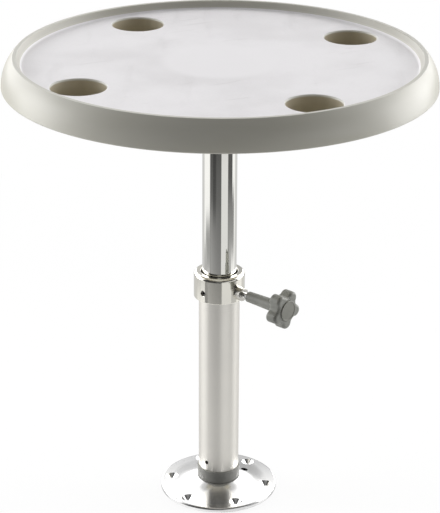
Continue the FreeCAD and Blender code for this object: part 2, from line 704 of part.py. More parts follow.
def lip_edges():
    """Return the path across the surface, up the lip and over its crest, and the point where that ends."""
    middle = FreeCAD.Vector(0, 0, surface_level)
    inner_corner = FreeCAD.Vector(crest_radius - CREST_WIDTH, 0, crest_level)
    outer_end = FreeCAD.Vector(crest_radius, 0, crest_level)
    wall_foot = inner_corner - FreeCAD.Vector(LIP_RISE / math.tan(math.radians(LIP_SLOPE)), 0, LIP_RISE)
    foot_arc = corner_arc(middle, wall_foot, inner_corner, LIP_FOOT_ROUNDING)
    inner_arc = corner_arc(wall_foot, inner_corner, outer_end, LIP_ROUNDING)
    pivot = outer_end - vertical * LIP_ROUNDING
    halfway = (vertical + skirt_normal()).normalize()
    crest_end = pivot + skirt_normal() * LIP_ROUNDING
    edges = [Part.makeLine(middle, foot_arc[0]),
             Part.Arc(*foot_arc).toShape(),
             Part.makeLine(foot_arc[2], inner_arc[0]),
             Part.Arc(*inner_arc).toShape(),
             Part.makeLine(inner_arc[2], outer_end),
             Part.Arc(outer_end, pivot + halfway * LIP_ROUNDING, crest_end).toShape()]
    return edges, crest_end


def skirt_normal():
    """Return the outward normal where the crest passes into the skirt."""
    turn = math.radians(SKIRT_TURN)
    return FreeCAD.Vector(math.cos(turn), 0, math.sin(turn))


def skirt_edge(start):
    """Return the arc that leaves the crest smoothly and ends at the skirt's lower edge."""
    foot = FreeCAD.Vector(top_radius, 0, skirt_foot_level)
    span = foot - start
    radius = -span.dot(span) / (2 * span.dot(skirt_normal()))
    middle = start - skirt_normal() * radius
    bulge = middle + ((start + foot) * 0.5 - middle).normalize() * radius
    return Part.Arc(start, bulge, foot).toShape()


def moulded_sheet():
    """Return the plain round sheet with its lip and skirt, without cups."""
    edges, crest_end = lip_edges()
    path = Part.Wire(edges + [skirt_edge(crest_end)])
    sheet = path.makeOffset2D(-TOP_SKIN, 0, True, True).revolve(centre, vertical, 360)
    lower_rims = [edge for edge in sheet.Edges
                  if len(edge.Vertexes) == 1 and edge.BoundBox.ZMax < skirt_foot_level + TOP_SKIN]
    return sheet.makeFillet(SKIRT_EDGE_ROUNDING, lower_rims)


def cup_shell():
    """Return one cup well on the axis, with the flat ring that joins it to the sheet."""
    rim = CUP_DIAMETER / 2
    floor = rim - CUP_DEPTH * math.tan(math.radians(CUP_DRAFT))
    floor_level = surface_level - CUP_DEPTH
    path = rounded_wire([(cup_seam_radius(), surface_level, 0), (rim, surface_level, CUP_RIM_ROUNDING),
                         (floor, floor_level, CUP_FLOOR_ROUNDING), (0, floor_level, 0)], closed=False)
    section = path.makeOffset2D(TOP_SKIN, 0, True, True)
    return section.revolve(centre, vertical, 360)


def cup_seam_radius():
    """Return the radius where a cup's flat ring meets the sheet."""
    return CUP_DIAMETER / 2 + CUP_RIM_ROUNDING + CUP_MARGIN


def table_top():
    """Return the moulded top with its lip, skirt and cups."""
    cup_angles = even_angles(CUP_COUNT, CUP_FIRST_ANGLE)
    opening = upright(cup_seam_radius(), surface_level - TOP_SKIN - OVERRUN, surface_level + OVERRUN)
    sheet = moulded_sheet().cut(repeated(opening, cup_distance, cup_angles))
    cups = repeated(cup_shell(), cup_distance, cup_angles)
    return sheet.fuse(cups.Solids).removeSplitter()


# ---- Export ----

PARTS = {
    "base_plate": base_plate,
    "foot_washer": foot_washer,
    "foot_bolt": foot_bolt,
    "foot_spigot": foot_spigot,
    "foot_ring": foot_ring,
    "lower_tube": lower_tube,
    "foot_grub_screws": foot_grub_screws,
    "clamp_collar": clamp_collar,
    "collar_grub_screws": collar_grub_screws,
    "tube_liner": tube_liner,
    "clamp_boss": clamp_boss,
    "clamp_shoe": clamp_shoe,
    "knob_stud": knob_stud,
    "knob_grip": knob_grip,
    "knob_cap": knob_cap,
    "guide_ring": guide_ring,
    "tube_end_plug": tube_end_plug,
    "upper_tube": upper_tube,
    "top_flange": top_flange,
    "flange_grub_screws": flange_grub_screws,
    "flange_screws": flange_screws,
    "core_board": core_board,
    "top_inserts": top_inserts,
    "table_top": table_top,
}

os.makedirs("parts", exist_ok=True)
for name, build in PARTS.items():
    shape = build()
    shape.exportStep("parts/" + name + ".step")
    print(name, len(shape.Solids), shape.isValid(), round(shape.Volume))
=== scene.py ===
"""Finishes, small parts and studio for a telescoping pedestal table.

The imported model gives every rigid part. This script dresses those parts, adds a grooved foot ring
and the clamp's threaded stud, and sets up a soft studio with a camera that looks down on the table.
Lengths are metres and angles degrees unless a docstring says otherwise. The column stands on the
origin along +Z.
"""

import logging
import math
from dataclasses import dataclass, field
from enum import Enum

import bmesh
import bpy
from mathutils import Matrix, Vector


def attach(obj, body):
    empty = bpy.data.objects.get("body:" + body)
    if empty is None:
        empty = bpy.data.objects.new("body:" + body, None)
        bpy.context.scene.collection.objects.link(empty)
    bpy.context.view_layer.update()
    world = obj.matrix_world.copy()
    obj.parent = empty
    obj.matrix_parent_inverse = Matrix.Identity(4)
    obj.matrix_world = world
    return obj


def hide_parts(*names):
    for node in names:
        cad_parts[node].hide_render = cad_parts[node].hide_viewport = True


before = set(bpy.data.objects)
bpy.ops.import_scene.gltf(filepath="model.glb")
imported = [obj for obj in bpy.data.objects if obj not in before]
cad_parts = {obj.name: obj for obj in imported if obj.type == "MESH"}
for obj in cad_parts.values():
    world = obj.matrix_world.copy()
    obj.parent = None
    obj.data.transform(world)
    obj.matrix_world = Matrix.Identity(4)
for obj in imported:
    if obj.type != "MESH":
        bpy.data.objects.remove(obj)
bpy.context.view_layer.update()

log = logging.getLogger("pedestal_table")

Triple = tuple[float, float, float]
Colour = Triple

MILLIMETRE = 0.001

ORIGIN: Triple = (0.0, 0.0, 0.0)
UP: Triple = (0.0, 0.0, 1.0)
WHITE: Colour = (1.0, 1.0, 1.0)
BLACK: Colour = (0.0, 0.0, 0.0)

# The readings of a noise between which a cloudy pattern runs from nothing to full.
CLOUD_LOW = 0.35
CLOUD_HIGH = 0.75

# Where the middle of a rounding lies from each of its two faces, as a share of its radius.
ARC_MIDDLE = 0.3

# Turns +Z into +X.
LYING = Matrix.Rotation(math.radians(90.0), 4, "Y")


# ---- Shader maths ----


class Value:
    """A number in a shader tree that Python's operators turn into Math nodes."""

    def __init__(self, bench: "Bench", socket: bpy.types.NodeSocket) -> None:
        """Wrap an output that carries a number."""
        self.bench = bench
        self.socket = socket

    def math(self, operation: str, *others: "Value | float") -> "Value":
        """Add a Math node that starts with this value.

        Args:
            operation: The node's operation.
            others: The node's second and third input.

        Returns:
            The node's result.
        """
        inputs = dict(enumerate((self, *others)))
        made = self.bench.node("ShaderNodeMath", {"operation": operation}, inputs)
        return Value(self.bench, made.outputs[0])

    def __add__(self, other: "Value | float") -> "Value":
        """Return the sum."""
        return self.math("ADD", other)

    def __radd__(self, other: float) -> "Value":
        """Return the sum with a plain number first."""
        return self.math("ADD", other)

    def __sub__(self, other: "Value | float") -> "Value":
        """Return the difference."""
        return self.math("SUBTRACT", other)

    def __rsub__(self, other: float) -> "Value":
        """Return a plain number minus this value."""
        made = self.bench.node("ShaderNodeMath", {"operation": "SUBTRACT"}, {0: other, 1: self})
        return Value(self.bench, made.outputs[0])

    def __mul__(self, other: "Value | float") -> "Value":
        """Return the product."""
        return self.math("MULTIPLY", other)

    def __rmul__(self, other: float) -> "Value":
        """Return the product with a plain number first."""
        return self.math("MULTIPLY", other)

    def __neg__(self) -> "Value":
        """Return the value with its sign changed."""
        return self.math("MULTIPLY", -1.0)

    def hypot(self, other: "Value") -> "Value":
        """Return the hypotenuse of this value and another."""
        return (self * self + other * other).math("SQRT")

    def mapped(self, interpolation: str, start: float, end: float) -> "Value":
        """Return a step from 0 at start to 1 at end.

        Args:
            interpolation: How a Map Range node goes from one to the other.
            start: Where the step begins.
            end: Where the step is complete.

        Returns:
            A value between 0 and 1.
        """
        made = self.bench.node(
            "ShaderNodeMapRange",
            {"interpolation_type": interpolation},
            {"Value": self, "From Min": start, "From Max": end, "To Min": 0.0, "To Max": 1.0},
        )
        return Value(self.bench, made.outputs["Result"])

    def rise(self, start: float, end: float) -> "Value":
        """Return a soft step from 0 at start to 1 at end."""
        return self.mapped("SMOOTHSTEP", start, end)

    def fall(self, start: float, end: float) -> "Value":
        """Return a soft step from 1 at start to 0 at end."""
        return 1.0 - self.rise(start, end)

    def ramp(self, start: float, end: float) -> "Value":
        """Return an even rise from 0 at start to 1 at end."""
        return self.mapped("LINEAR", start, end)

    def band(self, low: float, high: float, softness: float) -> "Value":
        """Return 1 between two bounds and 0 outside, with soft edges centred on the bounds.

        Args:
            low: The lower bound.
            high: The upper bound.
            softness: The width of each edge.

        Returns:
            A value between 0 and 1.
        """
        half = softness / 2
        return self.rise(low - half, low + half) * self.fall(high - half, high + half)


class Bench:
    """Adds nodes to one shader tree."""

    def __init__(self, tree: bpy.types.NodeTree) -> None:
        """Empty a tree and get ready to fill it."""
        self.tree = tree
        tree.nodes.clear()

    def node(
        self, kind: str, settings: dict | None = None, inputs: dict | None = None
    ) -> bpy.types.Node:
        """Add one node.

        Args:
            kind: The node's type.
            settings: Attributes of the node, which are set first.
            inputs: A value or a link for each input, by name or number.

        Returns:
            The node.
        """
        made = self.tree.nodes.new(kind)
        for name, value in (settings or {}).items():
            setattr(made, name, value)
        for key, value in (inputs or {}).items():
            self.feed(made.inputs[key], value)
        return made

    def feed(self, target: bpy.types.NodeSocket, value: object) -> None:
        """Link a socket to another, or give it a plain value.

        Args:
            target: The input to fill.
            value: A Value, a socket, a number or a tuple.
        """
        if isinstance(value, Value):
            self.tree.links.new(value.socket, target)
        elif isinstance(value, bpy.types.NodeSocket):
            self.tree.links.new(value, target)
        elif isinstance(value, tuple) and target.type == "RGBA":
            target.default_value = (*value, 1.0)
        else:
            target.default_value = value

    def value(self, node: bpy.types.Node, output: str | int = 0) -> Value:
        """Return one of a node's outputs as a Value."""
        return Value(self, node.outputs[output])

    def place(self) -> bpy.types.NodeSocket:
        """Return the point on the object, in the object's own metres."""
        return self.node("ShaderNodeTexCoord").outputs["Object"]

    def moved(
        self, vector: bpy.types.NodeSocket, location: Triple = ORIGIN, turn: Triple = ORIGIN
    ) -> bpy.types.NodeSocket:
        """Turn and then shift a vector.

        Args:
            vector: The vector.
            location: The shift.
            turn: The turn about each axis in radians.

        Returns:
            The new vector.
        """
        inputs = {"Vector": vector, "Location": location, "Rotation": turn}
        return self.node("ShaderNodeMapping", None, inputs).outputs["Vector"]

    def scaled(self, vector: bpy.types.NodeSocket, scale: Triple) -> bpy.types.NodeSocket:
        """Return a vector multiplied by a scale for each axis."""
        made = self.node("ShaderNodeVectorMath", {"operation": "MULTIPLY"}, {0: vector, 1: scale})
        return made.outputs["Vector"]

    def parts(self, vector: bpy.types.NodeSocket) -> tuple[Value, Value, Value]:
        """Return a vector's three numbers."""
        made = self.node("ShaderNodeSeparateXYZ", None, {"Vector": vector})
        return self.value(made, "X"), self.value(made, "Y"), self.value(made, "Z")

    def joined(self, x: Value | float, y: Value | float, z: Value | float) -> bpy.types.NodeSocket:
        """Return a vector made of three numbers."""
        return self.node("ShaderNodeCombineXYZ", None, {"X": x, "Y": y, "Z": z}).outputs["Vector"]

    def noise(self, vector: bpy.types.NodeSocket, scale: float, detail: float = 2.0) -> Value:
        """Return a noise pattern between 0 and 1.

        Args:
            vector: Where the pattern is read.
            scale: How fine it is.
            detail: How many finer layers it has.

        Returns:
            The noise.
        """
        inputs = {"Vector": vector, "Scale": scale, "Detail": detail}
        return self.value(self.node("ShaderNodeTexNoise", None, inputs), "Fac")

    def blend(self, share: Value | float, first: object, second: object) -> bpy.types.NodeSocket:
        """Mix two colours.

        Args:
            share: How much of the second colour shows.
            first: A colour or a socket.
            second: A colour or a socket.

        Returns:
            The mixed colour.
        """
        settings = {"data_type": "RGBA", "clamp_factor": True}
        made = self.node("ShaderNodeMix", settings, {0: share, 6: first, 7: second})
        return made.outputs[2]

    def bump(self, height: Value, distance: float) -> bpy.types.NodeSocket:
        """Return a normal that a height pattern bends.

        Args:
            height: The pattern, 0 to 1.
            distance: The depth of the pattern.

        Returns:
            The normal.
        """
        inputs = {"Height": height, "Distance": distance, "Strength": 1.0}
        return self.node("ShaderNodeBump", None, inputs).outputs["Normal"]

    def shader_mix(
        self, share: Value, first: bpy.types.Node, second: bpy.types.Node
    ) -> bpy.types.Node:
        """Mix two shaders.

        Args:
            share: How much of the second shader shows.
            first: The first shader.
            second: The second shader.

        Returns:
            The mixing node.
        """
        inputs = {0: share, 1: first.outputs[0], 2: second.outputs[0]}
        return self.node("ShaderNodeMixShader", None, inputs)

    def output(self, kind: str, shader: bpy.types.Node) -> None:
        """Link a shader to a new output node of the given type."""
        self.tree.links.new(shader.outputs[0], self.node(kind).inputs["Surface"])

    def principled(
        self, colour: object, roughness: Value, normal: object, metallic: float = 0.0
    ) -> None:
        """Add the material's main shader and link it to the output.

        Args:
            colour: The base colour.
            roughness: The roughness.
            normal: The bent normal.
            metallic: 1 for a bare metal.
        """
        inputs = {"Base Color": colour, "Roughness": roughness, "Normal": normal}
        shader = self.node("ShaderNodeBsdfPrincipled", None, {**inputs, "Metallic": metallic})
        self.output("ShaderNodeOutputMaterial", shader)


@dataclass(frozen=True)
class Pattern:
    """A noise cut down to the patches where it reads high.

    A patch begins at the low reading and is full at the high one, and the turn is in radians.
    """

    scale: Triple
    detail: float
    low: float
    high: float
    share: float = 1.0
    turn: float = 0.0

    def over(self, bench: Bench, place: bpy.types.NodeSocket) -> Value:
        """Return the pattern's share at each point.

        Args:
            bench: The material's tree.
            place: The point on the object.

        Returns:
            A value between 0 and the pattern's share.
        """
        if self.turn:
            place = bench.moved(place, turn=(0.0, 0.0, self.turn))
        noise = bench.noise(bench.scaled(place, self.scale), 1.0, self.detail)
        return noise.rise(self.low, self.high) * self.share


# ---- Finishes ----


class Lay(Enum):
    """Which way the fine marks of a machined surface run."""

    ALONG_COLUMN = "along the column"
    AROUND_COLUMN = "around the column"
    AROUND_CLAMP = "around the clamp's axis"
    NONE = "no direction"


@dataclass(frozen=True)
class ClampAxis:
    """The line that the clamp screw turns about: its turn about the column and its height."""

    turn: float = -42.0
    level: float = 0.3295

    def outward(self) -> Matrix:
        """Return the matrix that takes a shape on +Z to this line, its foot in the column."""
        turn = Matrix.Rotation(math.radians(self.turn), 4, "Z")
        return Matrix.Translation((0.0, 0.0, self.level)) @ turn @ LYING

    def local(self, bench: Bench) -> bpy.types.NodeSocket:
        """Return the point on the object with X along the clamp's axis and the origin on it."""
        lowered = bench.moved(bench.place(), location=(0.0, 0.0, -self.level))
        return bench.moved(lowered, turn=(0.0, 0.0, math.radians(-self.turn)))


CLAMP = ClampAxis()


@dataclass(frozen=True)
class Metal:
    """A bare metal surface with fine tool marks.

    The marks' pitch and depth are millimetres. Where turned_high lies above turned_low, the faint
    rings of a lathe run round the column between these two heights.
    """

    name: str
    colour: Colour
    roughness: float
    lay: Lay = Lay.NONE
    mark_pitch: float = 0.6
    mark_depth: float = 0.002
    roughness_spread: float = 0.06
    tint: Colour = (0.80, 0.78, 0.74)
    tint_share: float = 0.25
    turned_low: float = 0.0
    turned_high: float = 0.0
    smoothest: float = 0.02
    mark_stretch: float = 400.0
    mark_detail: float = 3.0
    mark_share: float = 0.6
    cloud_scale: float = 22.0
    cloud_detail: float = 3.0
    ring_edge: float = 2.0 * MILLIMETRE
    ring_share: float = 0.5
    rings: Pattern = Pattern((0.0, 0.0, 620.0), 2.0, 0.45, 0.7)

    def marks(self, bench: Bench, place: bpy.types.NodeSocket) -> Value:
        """Return the pattern of tool marks.

        Args:
            bench: The material's tree.
            place: The point on the object.

        Returns:
            A value between 0 and 1 that changes across the marks and not along them.
        """
        fine = 1.0 / (self.mark_pitch * MILLIMETRE)
        if self.lay is Lay.NONE:
            return bench.noise(place, fine, self.mark_detail)
        if self.lay is Lay.ALONG_COLUMN:
            scale = (fine, fine, fine / self.mark_stretch)
            return bench.noise(bench.scaled(place, scale), 1.0, self.mark_detail)
        if self.lay is Lay.AROUND_COLUMN:
            across, beside, along = bench.parts(place)
        else:
            along, across, beside = bench.parts(CLAMP.local(bench))
        rings = bench.joined(across.hypot(beside) * fine, along * fine, 0.0)
        return bench.noise(rings, 1.0, self.mark_detail)

    def material(self) -> bpy.types.Material:
        """Build the finish.

        Returns:
            The finished material.
        """
        material, bench = new_material(self.name)
        place = bench.place()
        marks = self.marks(bench, place)
        cloud = bench.noise(place, self.cloud_scale, self.cloud_detail)
        share = cloud.rise(CLOUD_LOW, CLOUD_HIGH) * self.tint_share
        if self.turned_high > self.turned_low:
            height = bench.parts(place)[2]
            turned = height.band(self.turned_low, self.turned_high, self.ring_edge)
            rings = self.rings.over(bench, place) * turned
            share = (share + rings * self.ring_share).math("MINIMUM", 1.0)
            marks = (marks + rings).math("MINIMUM", 1.0)
        low = max(self.roughness - self.roughness_spread / 2, self.smoothest)
        uneven = marks * self.mark_share + cloud * (1.0 - self.mark_share)
        bench.principled(
            colour=bench.blend(share, self.colour, self.tint),
            roughness=uneven * self.roughness_spread + low,
            normal=bench.bump(marks, self.mark_depth * MILLIMETRE),
            metallic=1.0,
        )
        return material


@dataclass(frozen=True)
class Plastic:
    """A satin moulded plastic with a faint grain, whose pitch and depth are millimetres."""

    name: str
    colour: Colour
    roughness: float = 0.42
    roughness_spread: float = 0.12
    grain_pitch: float = 0.8
    grain_depth: float = 0.02
    flow_scale: float = 30.0
    flow_detail: float = 3.0
    shade: float = 0.8

    def material(self) -> bpy.types.Material:
        """Build the finish.

        Returns:
            The finished material.
        """
        material, bench = new_material(self.name)
        place = bench.place()
        grain = bench.noise(place, 1.0 / (self.grain_pitch * MILLIMETRE))
        flow = bench.noise(place, self.flow_scale, self.flow_detail)
        darker = darkened(self.colour, self.shade)
        low = self.roughness - self.roughness_spread / 2
        bench.principled(
            colour=bench.blend(flow.rise(CLOUD_LOW, CLOUD_HIGH), self.colour, darker),
            roughness=flow * self.roughness_spread + low,
            normal=bench.bump(grain, self.grain_depth * MILLIMETRE),
        )
        return material


@dataclass(frozen=True)
class Plywood:
    """Painted plywood: its long grain shows through on its faces and its plies along its edge."""

    name: str
    light: Colour
    dark: Colour
    ply: float = 1.5 * MILLIMETRE
    ply_contrast: float = 0.4
    ply_share: float = 0.35
    fibre_scale: Triple = (14.0, 260.0, 260.0)
    fibre_detail: float = 4.0
    fibre_depth: float = 0.08 * MILLIMETRE
    shade_low: float = 0.25
    shade_high: float = 0.75
    roughness: float = 0.55
    roughness_spread: float = 0.2

    def material(self) -> bpy.types.Material:
        """Build the finish.

        Returns:
            The finished material.
        """
        material, bench = new_material(self.name)
        place = bench.place()
        fibre = bench.noise(bench.scaled(place, self.fibre_scale), 1.0, self.fibre_detail)
        height = bench.parts(place)[2]
        plies = (height * (math.pi / self.ply)).math("SINE")
        plies = plies.rise(-self.ply_contrast, self.ply_contrast)
        shade = plies * self.ply_share + fibre * (1.0 - self.ply_share)
        shade = shade.rise(self.shade_low, self.shade_high)
        bench.principled(
            colour=bench.blend(shade, self.light, self.dark),
            roughness=fibre * self.roughness_spread + self.roughness,
            normal=bench.bump(fibre, self.fibre_depth),
        )
        return material


@dataclass
class Spot:
    """A point of the table top: on the object, from the column's axis and above the floor."""

    bench: Bench
    place: bpy.types.NodeSocket
    reach: Value
    height: Value


@dataclass(frozen=True)
class MouldedTop:
    """The one-piece table top: a pale, finely textured surface inside a smooth warm grey shell.

    The shell is the lip, the skirt and the cups. Each level, surface_low and surface_high are
    heights above the floor, and each reach is a distance from the column's axis.
    """

    name: str
    shell: Colour
    shell_dark: Colour
    surface: Colour
    surface_dark: Colour
    # The cups' darker colour is painted shade.
    cup: Colour
    surface_low: float
    surface_high: float
    surface_reach: float
    crest_level: float
    cup_reach: float
    flange_reach: float
    edge: float = 0.35 * MILLIMETRE
    # Painted shade in the cups: their dark colour, from where it begins to where it is full below
    # the surface.
    cup_full_drop: float = 4.0 * MILLIMETRE
    cup_start_drop: float = 1.0 * MILLIMETRE
    cup_rings: Pattern = Pattern((0.0, 0.0, 700.0), 2.0, 0.4, 0.7, share=0.35)
    cup_shade: float = 0.8
    # Painted shade on the inner wall of the lip.
    lip_shade: Colour = (0.40, 0.38, 0.34)
    lip_shade_share: float = 0.36
    lip_shade_fade: float = 0.4
    lip_shade_crest_gap: float = 1.2 * MILLIMETRE
    lip_shade_softness: float = 0.8 * MILLIMETRE
    lip_shade_inward: float = 2.0 * MILLIMETRE
    lip_shade_outward: float = 6.0 * MILLIMETRE
    # Painted highlight on the crest of the lip and the rims of the cups.
    painted_highlight: Colour = (0.80, 0.79, 0.75)
    crest_highlight_share: float = 0.35
    crest_start_drop: float = 0.5 * MILLIMETRE
    crest_full_drop: float = 0.1 * MILLIMETRE
    rim_highlight_share: float = 0.5
    rim_drop: float = 2.2 * MILLIMETRE
    rim_softness: float = 0.6 * MILLIMETRE
    # The moulding's flow and the surface's stipple.
    flow_scale: Triple = (6.0, 6.0, 30.0)
    flow_detail: float = 3.0
    flow_low: float = 0.3
    flow_relief: float = 0.3
    stipple_scale: float = 1400.0
    relief_depth: float = 0.03 * MILLIMETRE
    roughness: float = 0.31
    flow_roughness: float = 0.08
    surface_roughness: float = 0.16
    # Clouds, specks and two lays of scuffs, all fainter within the flange's reach: a paler middle.
    wear: tuple[Pattern, ...] = (
        Pattern((7.0, 7.0, 7.0), 4.0, 0.38, 0.68, share=0.45),
        Pattern((420.0, 420.0, 420.0), 2.0, 0.45, 0.75, share=0.15),
        Pattern((34.0, 6.0, 6.0), 5.0, 0.56, 0.74, share=0.25),
        Pattern((60.0, 9.0, 9.0), 3.0, 0.62, 0.72, share=0.3, turn=1.1),
    )
    middle_fade_share: float = 0.85
    middle_full: float = 0.85
    middle_end: float = 1.1

    def surface_mask(self, spot: Spot) -> Value:
        """Return where the flat surface inside the lip is.

        Args:
            spot: The point.

        Returns:
            1 on the surface and 0 elsewhere.
        """
        flat = spot.height.band(self.surface_low, self.surface_high, self.edge)
        end = self.surface_reach + self.edge
        return flat * spot.reach.fall(self.surface_reach - self.edge, end)

    def cup_zone(self, spot: Spot) -> Value:
        """Return 1 as far out as the cups lie and 0 beyond."""
        return spot.reach.fall(self.cup_reach, self.cup_reach + self.edge)

    def cup_shade_mask(self, spot: Spot) -> Value:
        """Return where the cup wells are, which get painted shade.

        Args:
            spot: The point.

        Returns:
            1 down in the wells, fading out at their rounded rims.
        """
        full = self.surface_low - self.cup_full_drop
        start = self.surface_low - self.cup_start_drop
        return spot.height.fall(full, start) * self.cup_zone(spot)

    def lip_wall_shade(self, spot: Spot) -> Value:
        """Return how much painted shade lies on the inner wall of the lip.

        Args:
            spot: The point.

        Returns:
            A value between 0 and 1, largest at the wall's foot.
        """
        top = self.crest_level - self.lip_shade_crest_gap
        wall = spot.height.band(self.surface_high, top, self.lip_shade_softness)
        inner = self.surface_reach - self.lip_shade_inward
        outer = self.surface_reach + self.lip_shade_outward
        fade = spot.height.ramp(self.surface_high, self.crest_level) * self.lip_shade_fade
        return wall * spot.reach.band(inner, outer, self.edge) * (1.0 - fade)

    def surface_tone(self, spot: Spot) -> bpy.types.NodeSocket:
        """Return the colour of the surface inside the lip.

        Args:
            spot: The point.

        Returns:
            The colour.
        """
        first, *others = (pattern.over(spot.bench, spot.place) for pattern in self.wear)
        full = self.flange_reach * self.middle_full
        paler_middle = spot.reach.fall(full, self.flange_reach * self.middle_end)
        worn = sum(others, start=first) * (1.0 - self.middle_fade_share * paler_middle)
        return spot.bench.blend(worn, self.surface, self.surface_dark)

    def shell_tone(self, spot: Spot, flow: Value) -> bpy.types.NodeSocket:
        """Return the colour of the lip, the skirt and the cups, painted shade and highlight
        included.

        Args:
            spot: The point.
            flow: The moulding's flow.

        Returns:
            The colour.
        """
        blend = spot.bench.blend
        smooth = blend(flow.rise(self.flow_low, CLOUD_HIGH), self.shell, self.shell_dark)
        rings = self.cup_rings.over(spot.bench, spot.place)
        # Painted shade in the cup wells, with fine rings over it.
        shaded_cup = blend(rings, self.cup, darkened(self.cup, self.cup_shade))
        with_cups = blend(self.cup_shade_mask(spot), smooth, shaded_cup)
        # Painted shade on the lip's inner wall, darkest at its foot.
        shaded_wall = blend(self.lip_wall_shade(spot) * self.lip_shade_share, with_cups, self.lip_shade)
        # Painted highlight on the crest of the lip and on the cup rims.
        crest_start = self.crest_level - self.crest_start_drop
        crest = spot.height.rise(crest_start, self.crest_level - self.crest_full_drop)
        rim_foot = self.surface_low - self.rim_drop
        rim = spot.height.band(rim_foot, self.surface_low, self.rim_softness)
        rim = rim * self.cup_zone(spot)
        return blend(crest * self.crest_highlight_share + rim * self.rim_highlight_share, shaded_wall, self.painted_highlight)

    def material(self) -> bpy.types.Material:
        """Build the finish.

        Returns:
            The finished material.
        """
        material, bench = new_material(self.name)
        place = bench.place()
        x, y, height = bench.parts(place)
        spot = Spot(bench, place, x.hypot(y), height)
        on_surface = self.surface_mask(spot)
        flow = bench.noise(bench.scaled(place, self.flow_scale), 1.0, self.flow_detail)
        stipple = bench.noise(place, self.stipple_scale)
        relief = on_surface * stipple + (1.0 - on_surface) * flow * self.flow_relief
        uneven = on_surface * self.surface_roughness + flow * self.flow_roughness
        bench.principled(
            colour=bench.blend(on_surface, self.shell_tone(spot, flow), self.surface_tone(spot)),
            roughness=uneven + self.roughness,
            normal=bench.bump(relief, self.relief_depth),
        )
        return material


Finish = Metal | Plastic | Plywood | MouldedTop


def darkened(colour: Colour, share: float) -> Colour:
    """Return a colour with each of its parts multiplied by a share."""
    return tuple(part * share for part in colour)


def new_material(name: str) -> tuple[bpy.types.Material, Bench]:
    """Make an empty node material.

    Args:
        name: The material's name.

    Returns:
        The material and the bench that fills it.
    """
    material = bpy.data.materials.new(name)
    material.use_nodes = True
    return material, Bench(material.node_tree)


def material_of(finish: Finish) -> bpy.types.Material:
    """Return the material of a finish, which is built at its first use."""
    return bpy.data.materials.get(finish.name) or finish.material()


# ---- Meshes ----


def new_mesh(name: str, shape: bmesh.types.BMesh) -> bpy.types.Mesh:
    """Turn a shape into a mesh.

    Args:
        name: The mesh's name.
        shape: The shape, which is freed.

    Returns:
        The mesh.
    """
    mesh = bpy.data.meshes.new(name)
    shape.to_mesh(mesh)
    shape.free()
    return mesh


def new_object(name: str, data: bpy.types.ID) -> bpy.types.Object:
    """Put a mesh, a light or a camera into the scene.

    Args:
        name: The object's name.
        data: What it shows.

    Returns:
        The object.
    """
    made = bpy.data.objects.new(name, data)
    bpy.context.scene.collection.objects.link(made)
    return made


@dataclass
class Piece:
    """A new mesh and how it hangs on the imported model."""

    name: str
    shape: bmesh.types.BMesh
    body: str
    slot: str
    replaces: tuple[str, ...]
    weld: float = 0.001 * MILLIMETRE
    smooth_below: float = 40.0

    def finish(self, finish: Finish) -> None:
        """Turn the shape into an object that rides on its body.

        Args:
            finish: The object's finish.
        """
        bmesh.ops.remove_doubles(self.shape, verts=self.shape.verts, dist=self.weld)
        bmesh.ops.recalc_face_normals(self.shape, faces=self.shape.faces)
        mesh = new_mesh(self.name, self.shape)
        mesh.materials.append(material_of(finish))
        mesh.shade_smooth()
        mesh.set_sharp_from_angle(angle=math.radians(self.smooth_below))
        made = new_object(self.name, mesh)
        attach(made, self.body)
        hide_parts(*self.replaces)
        log.info("piece %s: %d faces on %s", self.name, len(mesh.polygons), self.body)


def lathe(
    shape: bmesh.types.BMesh, profile: list[tuple[float, float]], segments: int = 48
) -> None:
    """Spin a closed profile about Z and add it to a shape.

    Args:
        shape: The mesh that grows.
        profile: Radii and heights, either from the axis round to the axis or round to the start.
        segments: Segments of the full turn.
    """
    verts = [shape.verts.new((radius, 0.0, height)) for radius, height in profile]
    edges = [shape.edges.new(pair) for pair in zip(verts, verts[1:])]
    bmesh.ops.spin(
        shape, geom=verts + edges, cent=ORIGIN, axis=UP,
        angle=math.tau, steps=segments, use_merge=True,
    )


@dataclass
class Thread:
    """A rolled screw thread, whose flanks and crest stand at shares of its pitch."""

    crest: float
    pitch: float
    depth: float
    start: float
    end: float
    segments: int = 28
    rise_start: float = 0.22
    rise_end: float = 0.48
    fall_start: float = 0.60
    fall_end: float = 0.86
    weld: float = 0.01 * MILLIMETRE

    def add_to(self, shape: bmesh.types.BMesh) -> None:
        """Sweep one turn's profile up a helix, cut the ends flat and close them.

        Args:
            shape: The mesh that grows.
        """
        root = self.crest - self.depth
        turns = math.ceil((self.end - self.start) / self.pitch) + 2
        foot = self.start - self.pitch
        outline = [
            (root, 0.0),
            (root, self.rise_start),
            (self.crest, self.rise_end),
            (self.crest, self.fall_start),
            (root, self.fall_end),
            (root, 1.0),
        ]
        rod = bmesh.new()
        points = [(radius, 0.0, foot + share * self.pitch) for radius, share in outline]
        verts = [rod.verts.new(point) for point in points]
        edges = [rod.edges.new(pair) for pair in zip(verts, verts[1:])]
        bmesh.ops.spin(
            rod, geom=verts + edges, cent=ORIGIN, axis=UP, angle=math.tau * turns,
            dvec=(0.0, 0.0, self.pitch / self.segments), steps=self.segments * turns,
        )
        bmesh.ops.remove_doubles(rod, verts=rod.verts, dist=self.weld)
        for level, side in ((self.start, -1.0), (self.end, 1.0)):
            cut = bmesh.ops.bisect_plane(
                rod, geom=rod.verts[:] + rod.edges[:] + rod.faces[:], clear_outer=True,
                plane_co=(0.0, 0.0, level), plane_no=(0.0, 0.0, side),
            )
            rim = [item for item in cut["geom_cut"] if isinstance(item, bmesh.types.BMEdge)]
            bmesh.ops.edgeloop_fill(rod, edges=rim)
        mesh = new_mesh("thread", rod)
        shape.from_mesh(mesh)
        bpy.data.meshes.remove(mesh)


# ---- Sub-assemblies ----

